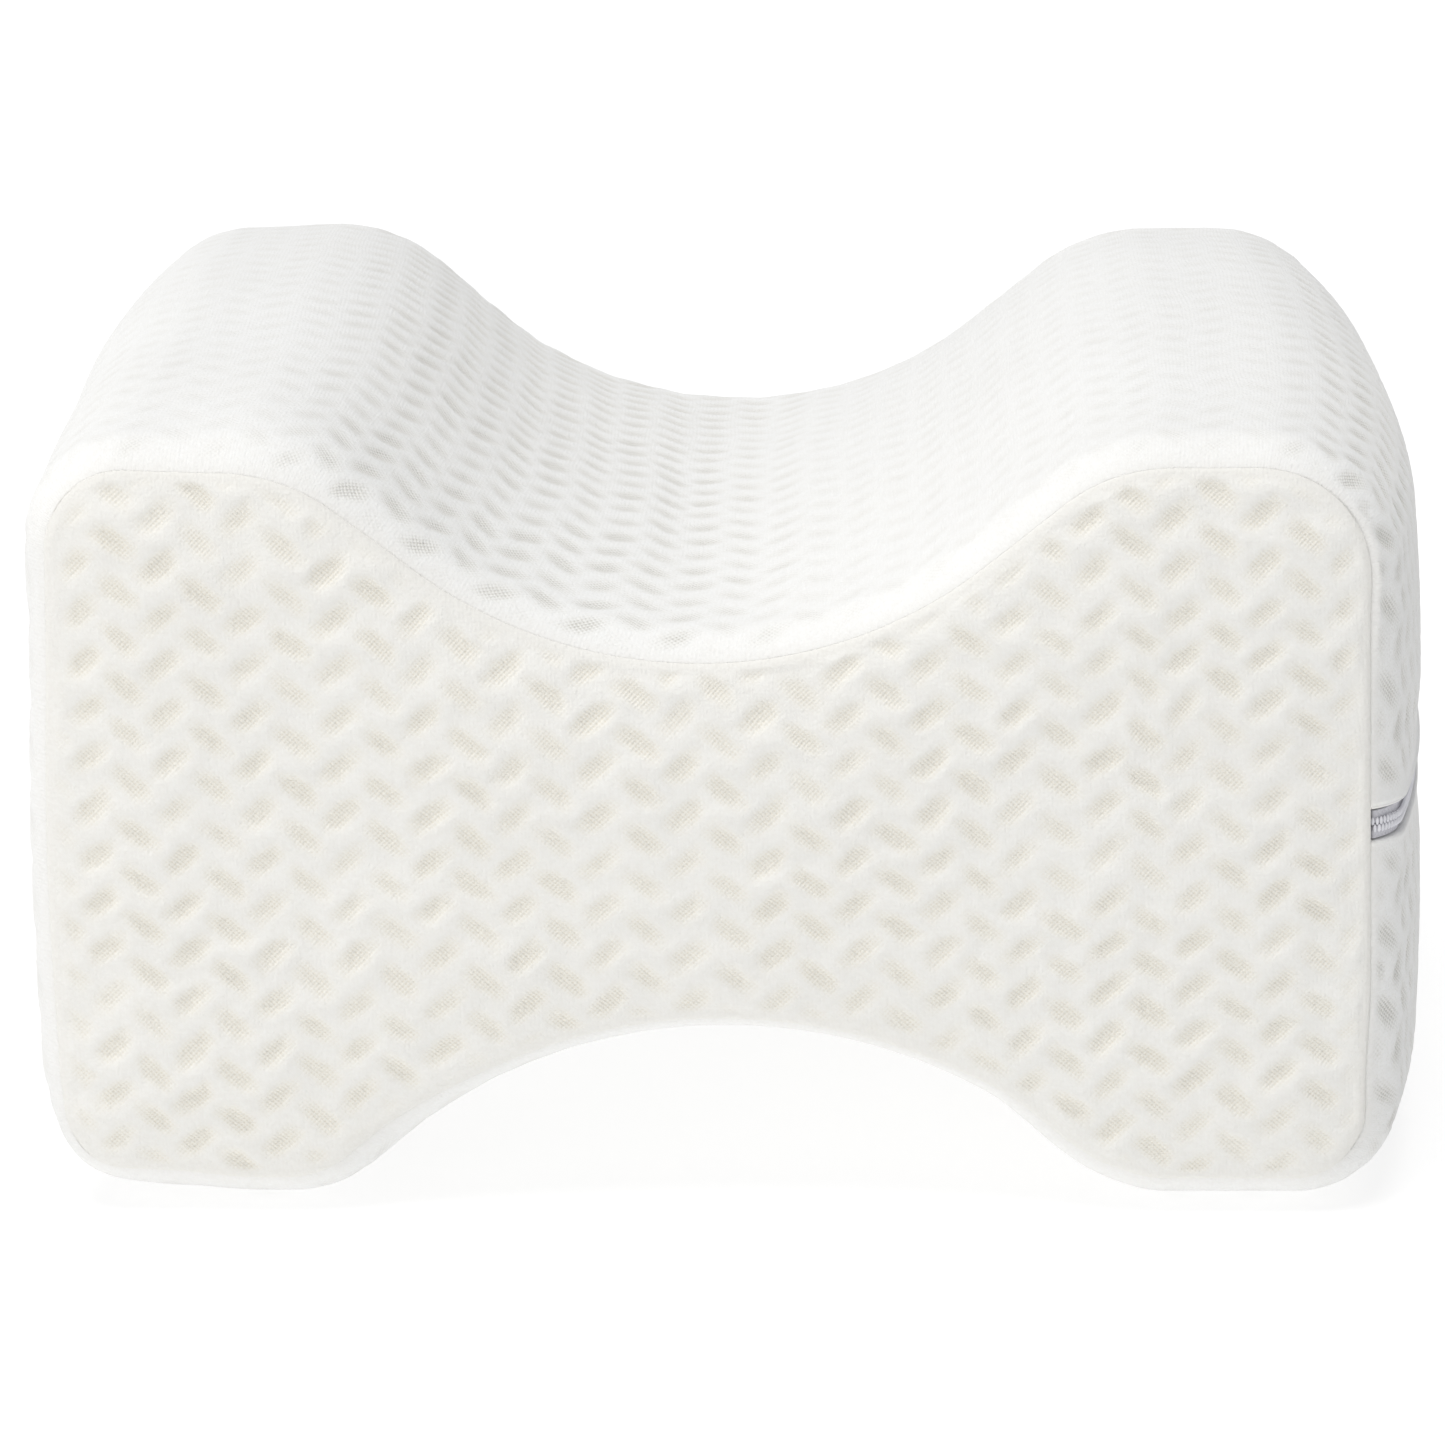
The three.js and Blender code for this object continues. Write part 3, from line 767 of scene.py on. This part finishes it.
def build_panel(side, swell):
    """The front panel for side -1 and the back panel for side 1."""
    u = edge_dense(PANEL_ACROSS, PANEL_RUN)
    v = edge_dense(PANEL_UP, PANEL_RISE)
    ring = Section(v, u, v, u)
    ends = ring.points(np.array([0.0, SEAM_STEP]) if side < 0 else BAND_LENGTH - np.array([SEAM_STEP, 0.0]))
    seam_line = ends[0] if side < 0 else ends[-1]
    band_out = ring_normals(ends)[0]
    rim = outline_index(PANEL_ACROSS, PANEL_UP)
    points = coons(seam_line, rim, u, v)
    nearest, distance = nearest_on_seam(points, seam_line)

    x, z = points[..., 0], points[..., 2]
    column, row = front_lattice(-side * x, z)
    column, row = uneven(column, row, SEEDS["front_knit" if side < 0 else "back_knit"])
    fade_end = PANEL_FADE + (PANEL_SIDE_FADE - PANEL_FADE) * np.abs(ring.out[nearest, 0])
    dimple = dimple_share(column, row) * smooth_step(FADE_START, fade_end, distance)
    swell = softened(resampled(swell, v, u), PANEL_SOFTENING)
    points[..., 1] += side * panel_relief(x, z, column, row, distance, dimple, swell)
    tight = seam_tightness(ring)[nearest]
    sink = seam_sink(distance, ring.along[nearest], tight)
    points += sink[..., None] * seam_direction(band_out, side)[nearest]

    # The panel is closed behind: a short rim, then a flat back.
    count = len(seam_line)
    order = np.empty(count, int)
    order[rim[rim >= 0]] = np.flatnonzero((rim >= 0).ravel())
    face = points.reshape(-1, 3)
    back = face[order].copy()
    back[:, [0, 2]] -= PANEL_BACK_INSET * ring.out
    back[:, 1] -= side * PANEL_THICK
    all_points = np.concatenate([face, back])
    all_points[:, 2] = np.maximum(all_points[:, 2], 0)
    back_index = len(face) + np.arange(count)
    strip = grid_faces(np.stack([order, back_index]), closed=True)
    faces = [grid_faces(np.arange(len(face)).reshape(rim.shape)), strip, back_index[None]]
    uv = np.stack([corner_values(g) for g in (column, row)], -1)
    if side > 0:
        faces = [f[:, ::-1] for f in faces]
        uv = uv[:, ::-1]
    # How strong the painted shade along the seam is at each point.
    seam = np.exp(-((distance / SEAM_SHADE) ** 2)) * tight
    values = {name: np.concatenate([g.ravel(), np.zeros(count)])
              for name, g in (("dimple", dimple), ("seam", seam))}
    name = "front_panel_cover" if side < 0 else "back_panel_cover"
    hard = [slice(len(faces[0]), None)]
    panel = make_object(name, all_points, faces, np.ascontiguousarray(uv), values, hard)
    size, area = flat_size(seam_line[:, [0, 2]])
    return panel, size, area


def zip_side():
    """How far the widest section reaches to the right at the zip."""
    even = np.linspace(0, 1, 201)
    ring = Section(even, even, even, even)
    right = (ring.around >= 2) & (ring.around < 3)
    return np.interp(ZIP_HEIGHT, ring.z[right][::-1], ring.x[right][::-1])


def side_at(y):
    """The right side's surface beside the zip."""
    return zip_side() - edge_inset(y, CROWN_SIDE) + seam_shift(y)


def build_tape(side):
    """One zip tape, above the middle of the zip for side 1 and below it for side -1."""
    y = np.linspace(-ZIP_REACH, ZIP_REACH, TAPE_CUTS)[:, None]
    # The tape's cut end: places across its width, and heights over its back in thicknesses.
    profile = np.array([[0, 1], [0.05, 1], [0.5, 1.04], [0.95, 1], [1, 1], [1, 0], [0.5, 0], [0, 0]])
    height = ZIP_HEIGHT + side * (GAP + TAPE_WIDTH * profile[:, 0])
    deep = GROOVE_DEPTH - GAP - TAPE_THICK * profile[:, 1]
    points = np.stack(np.broadcast_arrays(side_at(y) - deep, y, height), -1)
    faces = tube_faces(points)
    if side > 0:
        faces = [f[:, ::-1] for f in faces]
    name = "zip_tape_upper_cloth" if side > 0 else "zip_tape_lower_cloth"
    return make_object(name, points.reshape(-1, 3), faces)


def coil_path():
    """The coil's curve: places to the right and along the depth, and the way along it."""
    end = ZIP_REACH - TOOTH_RADIUS
    y = np.concatenate([[-ZIP_REACH - TOOTH_RADIUS],
                        np.linspace(COIL_START_STEP - ZIP_REACH, end, COIL_PATH_POINTS)])
    x = side_at(np.maximum(y, -ZIP_REACH)) - (GROOVE_DEPTH - 2 * GAP - TAPE_THICK - TOOTH_RADIUS)
    x[0] -= COIL_START_DEEPER
    return x, y, np.concatenate([[0], np.cumsum(np.hypot(np.diff(x), np.diff(y)))])


def build_teeth():
    """Two rows of coil turns, staggered so that they mesh."""
    lie = np.linspace(0, math.pi, TURN_RINGS)
    turn = np.linspace(0, 2 * math.pi, TURN_SIDES, endpoint=False)
    shape = np.stack([np.outer(np.sin(lie), np.cos(turn)), np.outer(np.sin(lie), np.sin(turn)),
                      np.outer(np.cos(lie), np.ones(TURN_SIDES))], -1)
    size = np.array([TOOTH_FLAT * TOOTH_RADIUS, TOOTH_RADIUS, TURN_LENGTH * COIL_HALF])
    index = np.arange(TURN_RINGS * TURN_SIDES).reshape(TURN_RINGS, TURN_SIDES)
    path_x, path_y, path = coil_path()
    faces, points = [], []
    for side, offset in ((1, 0.0), (-1, 0.5)):
        along = np.arange(offset * TOOTH_PITCH, path[-1], TOOTH_PITCH)
        for y, x in zip(np.interp(along, path, path_y), np.interp(along, path, path_x)):
            middle = np.array([x, y, ZIP_HEIGHT + side * TURN_PLACE * COIL_HALF])
            faces.append(len(points) * index.size + grid_faces(index, closed=True))
            points.append((shape * size + middle).reshape(-1, 3))
    return make_object("zip_coil_turns", np.concatenate(points), faces)


class Graph:
    """A material's nodes, added and joined by short calls."""

    def __init__(self, name):
        self.material = bpy.data.materials.new(name)
        self.material.use_nodes = True
        self.tree = self.material.node_tree
        self.shader = self.tree.nodes["Principled BSDF"]

    def put(self, socket, value):
        if hasattr(value, "is_output"):
            self.tree.links.new(value, socket)
        else:
            socket.default_value = value

    def add(self, kind, inputs=None, **settings):
        node = self.tree.nodes.new(kind)
        for key, value in settings.items():
            setattr(node, key, value)
        for key, value in (inputs or {}).items():
            self.put(node.inputs[key], value)
        return node

    def math(self, operation, *values):
        node = self.add("ShaderNodeMath", operation=operation)
        for socket, value in zip(node.inputs, values):
            self.put(socket, value)
        return node.outputs[0]

    def wave(self, value, turns=1.0):
        """A cosine from 0 to 1 with the given number of turns a unit."""
        swing = self.math("COSINE", self.math("MULTIPLY", value, 2 * math.pi * turns))
        return self.math("MULTIPLY_ADD", swing, 0.5, 0.5)

    def mix(self, share, first, second):
        node = self.add("ShaderNodeMix", data_type="RGBA")
        self.put(node.inputs["Factor"], share)
        self.put(node.inputs["A"], first)
        self.put(node.inputs["B"], second)
        return node.outputs["Result"]

    def noise(self, scale, detail=2.0, vector=None):
        inputs = {"Scale": scale, "Detail": detail}
        if vector is None:
            vector = self.add("ShaderNodeTexCoord").outputs["Object"]
        inputs["Vector"] = vector
        return self.add("ShaderNodeTexNoise", inputs).outputs["Fac"]

    def attribute(self, name):
        return self.add("ShaderNodeAttribute", attribute_name=name).outputs["Fac"]

    def finish(self, colour, height, distance, strength=1.0, **uniform):
        """Colour and height may be sockets; uniform holds plain numbers for the shader's own sockets."""
        self.put(self.shader.inputs["Base Color"], colour)
        bump = self.add("ShaderNodeBump", {"Strength": strength, "Distance": distance, "Height": height})
        self.put(self.shader.inputs["Normal"], bump.outputs[0])
        for key, value in uniform.items():
            self.shader.inputs[key.replace("_", " ")].default_value = value
        return self.material


# The knit's relief: its height, and the shares of ribs, net and fuzz.
KNIT_BUMP = 0.13 * MM
RIB_RELIEF = 0.2
NET_RELIEF = 1.3
FUZZ_RELIEF = 1.4


def knit_material(name, ground, net, hole, shade_and_mottle):
    g = Graph(name)
    place = g.add("ShaderNodeSeparateXYZ",
                  {0: g.add("ShaderNodeUVMap", uv_map="knit").outputs[0]})
    wale = g.math("MULTIPLY", place.outputs[0], float(WALES))
    course = g.math("MULTIPLY", place.outputs[1], float(COURSES))
    # Smooth knit: faint upright ribs of slanting stitches.
    from_rib = g.math("ABSOLUTE", g.math("SUBTRACT", g.math("FRACT", wale), 0.5))
    rib = g.wave(g.math("ADD", wale, 0.5))
    stitch = g.wave(g.math("MULTIPLY_ADD", from_rib, 0.7, course))
    plain = g.math("MULTIPLY", rib, g.math("MULTIPLY_ADD", stitch, 0.5, 0.5))
    # Net: staggered holes between thin yarns.
    swing = g.math("MULTIPLY", g.math("COSINE", g.math("MULTIPLY", wale, 2 * math.pi * NET_SCALE)),
                   g.math("COSINE", g.math("MULTIPLY", course, 2 * math.pi * NET_SCALE)))
    open_net = g.math("MULTIPLY_ADD", swing, 0.5, 0.5)
    dimple = g.attribute("dimple")
    inside = g.math("SMOOTH_MIN", g.math("MULTIPLY", dimple, 1.5), 1.0, 0.3)
    fuzz = g.noise(1500.0, 3.0)
    height = g.math("MULTIPLY", g.math("MULTIPLY", plain, RIB_RELIEF), g.math("SUBTRACT", 1.0, inside))
    height = g.math("ADD", height, g.math("MULTIPLY", g.math("MULTIPLY", open_net, NET_RELIEF), inside))
    height = g.math("MULTIPLY_ADD", fuzz, FUZZ_RELIEF, height)
    # Cream yarn shows in the net, and shade in its holes.
    colour = g.mix(g.math("MULTIPLY", inside, 0.9), ground, net)
    pit = g.math("MULTIPLY", g.math("POWER", g.math("SUBTRACT", 1.0, open_net), 2.5), inside)
    spotted = g.math("MULTIPLY_ADD", g.noise(420.0), 1.1, 0.25)
    colour = g.mix(g.math("MINIMUM", g.math("MULTIPLY", pit, spotted), 1.0), colour, hole)
    # Painted shade in the grooves between the ribs.
    between = g.math("MULTIPLY", g.math("SUBTRACT", 1.0, plain), 0.035)
    colour = g.mix(between, colour, shade_and_mottle)
    # Random mottling of the knit's own tone, towards the same warm colour.
    patches = g.math("MULTIPLY", g.noise(28.0, 3.0), 0.1)
    lint = g.math("MULTIPLY_ADD", g.noise(1100.0, 4.0), 0.3, -0.1)
    colour = g.mix(g.math("ADD", patches, lint), colour, shade_and_mottle)
    # Painted shade along the seams, where the cloth is drawn in.
    colour = g.mix(g.math("MULTIPLY", g.attribute("seam"), 0.25), colour, shade_and_mottle)
    return g.finish(colour, height, KNIT_BUMP, Roughness=0.92, Sheen_Weight=0.18, Sheen_Roughness=0.55,
                    Specular_IOR_Level=0.2)


# The twill's zigzags: their width and their pitch along the tape.
TWILL_WIDTH = 2.0 * MM
TWILL_PITCH = 0.7 * MM


def tape_material():
    g = Graph("zip_tape_twill")
    place = g.add("ShaderNodeSeparateXYZ", {0: g.add("ShaderNodeTexCoord").outputs["Object"]})
    y, z = place.outputs[1], place.outputs[2]
    across = g.math("FRACT", g.math("MULTIPLY", z, 1 / TWILL_WIDTH))
    lean = g.math("ABSOLUTE", g.math("SUBTRACT", across, 0.5))
    twill = g.wave(g.math("MULTIPLY_ADD", y, 1 / TWILL_PITCH, g.math("MULTIPLY", lean, 2.0)))
    colour = g.mix(g.math("MULTIPLY", twill, 0.35), (0.64, 0.635, 0.68, 1), (0.74, 0.735, 0.775, 1))
    colour = g.mix(g.math("MULTIPLY", g.noise(300.0), 0.3), colour, (0.60, 0.595, 0.635, 1))
    return g.finish(colour, twill, 0.08 * MM, Roughness=0.9, Sheen_Weight=0.15, Specular_IOR_Level=0.25)


def coil_material():
    g = Graph("zip_coil_nylon")
    colour = g.mix(g.noise(700.0), (0.70, 0.70, 0.74, 1), (0.80, 0.80, 0.84, 1))
    return g.finish(colour, g.noise(3000.0), 0.02 * MM, Roughness=0.42, Specular_IOR_Level=0.5)


def metal_material():
    g = Graph("zip_metal_paint")
    colour = g.mix(g.noise(180.0, 4.0), (0.62, 0.62, 0.65, 1), (0.70, 0.70, 0.72, 1))
    return g.finish(colour, g.noise(900.0, 4.0), 0.03 * MM, Roughness=0.34, Metallic=0.35,
                    Coat_Weight=0.4, Coat_Roughness=0.2)


def floor_material():
    g = Graph("pale_floor")
    colour = g.mix(g.noise(6.0), (0.36, 0.36, 0.36, 1), (0.38, 0.38, 0.38, 1))
    # The floor glows a little, as a light table does, which keeps the shadows soft.
    return g.finish(colour, g.noise(40.0), 0.01 * MM, Roughness=0.8, Specular_IOR_Level=0.1,
                    Emission_Color=(1, 1, 1, 1), Emission_Strength=0.70)


def dress(piece, material, node):
    piece.data.materials.append(material)
    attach(piece, "root")
    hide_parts(node)


band_swell, front_swell, back_swell = blow_up()

# A warm colour for painted shade in the rib grooves and along the seams, and for random mottling of the
# knit's tone.
WARM_SHADE_AND_MOTTLE = (0.66, 0.62, 0.55, 1)
band_knit = knit_material("band_knit", ground=(0.885, 0.89, 0.885, 1), net=(0.86, 0.855, 0.83, 1),
                          hole=(0.52, 0.51, 0.46, 1), shade_and_mottle=WARM_SHADE_AND_MOTTLE)
panel_knit = knit_material("panel_knit", ground=(0.868, 0.866, 0.842, 1), net=(0.90, 0.88, 0.812, 1),
                           hole=(0.77, 0.725, 0.62, 1), shade_and_mottle=WARM_SHADE_AND_MOTTLE)

band = build_band(band_swell)
dress(band, band_knit, "side_band_body")

for side, swell, node in ((-1, front_swell, "front_panel"), (1, back_swell, "back_panel")):
    panel, size, area = build_panel(side, swell)
    dress(panel, panel_knit, node)

twill = tape_material()
for side, node in ((1, "zip_tape_upper"), (-1, "zip_tape_lower")):
    tape = build_tape(side)
    dress(tape, twill, node)

dress(build_teeth(), coil_material(), "zip_coil")
metal = metal_material()
for node in ("zip_slider", "zip_pull"):
    for material_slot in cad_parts[node].material_slots:
        material_slot.material = metal


# The floor, a wide pale plane under the pillow.
FLOOR_HALF = 60000.0
corners = np.array([[-1, -1, 0], [1, -1, 0], [1, 1, 0], [-1, 1, 0]]) * FLOOR_HALF
floor = make_object("floor", corners, [np.array([[0, 1, 2, 3]])])
floor.data.materials.append(floor_material())

# The camera, measured from the photograph: degrees, millimetres, and pixels of its 1445-pixel frame.
FRAME_PIXELS = 1445
CAMERA_TURN = 1.162
CAMERA_RISE = 15.797
CAMERA_ROLL = -0.322
CAMERA_DISTANCE = 1058.4
CAMERA_AIM = (-2.40, -100.0, 91.11)
FOCAL_PIXELS = 6127.4
AXIS_PIXEL = (724.1, 724.7)
SENSOR = 36.0


def make_camera():
    turn, rise, roll = (math.radians(a) for a in (CAMERA_TURN, CAMERA_RISE, CAMERA_ROLL))
    ahead = Vector((-math.sin(turn) * math.cos(rise), math.cos(turn) * math.cos(rise), -math.sin(rise)))
    right = Vector((math.cos(turn), math.sin(turn), 0))
    up = right.cross(ahead)
    across = right * math.cos(roll) + up * math.sin(roll)
    upward = up * math.cos(roll) - right * math.sin(roll)
    data = bpy.data.cameras.new("camera")
    camera = bpy.data.objects.new("camera", data)
    bpy.context.scene.collection.objects.link(camera)
    bpy.context.scene.camera = camera
    place = (Vector(CAMERA_AIM) - ahead * CAMERA_DISTANCE) * MM
    matrix = camera.matrix_world.copy()
    for column, axis in enumerate((across, upward, -ahead)):
        for row in range(3):
            matrix[row][column] = axis[row]
    matrix.translation = place
    camera.matrix_world = matrix
    data.sensor_width = SENSOR
    data.lens = FOCAL_PIXELS / FRAME_PIXELS * SENSOR
    data.shift_x = -(AXIS_PIXEL[0] - FRAME_PIXELS / 2) / FRAME_PIXELS
    data.shift_y = (AXIS_PIXEL[1] - FRAME_PIXELS / 2) / FRAME_PIXELS
    data.clip_start, data.clip_end = 0.01, 50


SUN = {"power": 1.96, "colour": (1, 0.99, 0.97), "toward": (-0.1, -0.17, 0.93)}
SUN_SPREAD = math.radians(35)
# A square lamp to the left of the camera, in metres, near enough to fade across the front.
SOFTBOX = {"power": 1.4, "colour": (1, 0.94, 0.84), "place": (-0.6, -0.85, 0.3)}
SOFTBOX_SIZE = 0.6
SOFTBOX_AIM = (0, 0, 0.07)
# The studio is brighter on the left than on the right.
STUDIO_COLOUR = (0.95, 0.965, 1, 1)
STUDIO_STRENGTH = 0.46
STUDIO_FALL = -0.2


def make_light(name, kind, power, colour, toward, place=(0, 0, 0)):
    """A lamp; toward is the way from what it lights to the lamp. Returns its data."""
    data = bpy.data.lights.new(name, kind)
    data.energy = power
    data.color = colour
    light = bpy.data.objects.new(name, data)
    bpy.context.scene.collection.objects.link(light)
    light.location = place
    light.rotation_euler = Vector(toward).to_track_quat("Z", "Y").to_euler()
    return data


def make_studio():
    world = bpy.data.worlds.new("studio")
    world.use_nodes = True
    tree = world.node_tree
    backdrop = tree.nodes["Background"]
    backdrop.inputs["Color"].default_value = STUDIO_COLOUR
    direction = tree.nodes.new("ShaderNodeTexCoord")
    parts = tree.nodes.new("ShaderNodeSeparateXYZ")
    strength = tree.nodes.new("ShaderNodeMath")
    strength.operation = "MULTIPLY_ADD"
    strength.inputs[1].default_value = STUDIO_FALL
    strength.inputs[2].default_value = STUDIO_STRENGTH
    tree.links.new(direction.outputs["Generated"], parts.inputs[0])
    tree.links.new(parts.outputs[0], strength.inputs[0])
    tree.links.new(strength.outputs[0], backdrop.inputs["Strength"])
    bpy.context.scene.world = world


make_camera()
make_light("key", "SUN", **SUN).angle = SUN_SPREAD
softbox_way = Vector(SOFTBOX["place"]) - Vector(SOFTBOX_AIM)
make_light("softbox", "AREA", toward=softbox_way, **SOFTBOX).size = SOFTBOX_SIZE
make_studio()
bpy.context.scene.view_settings.view_transform = "Standard"
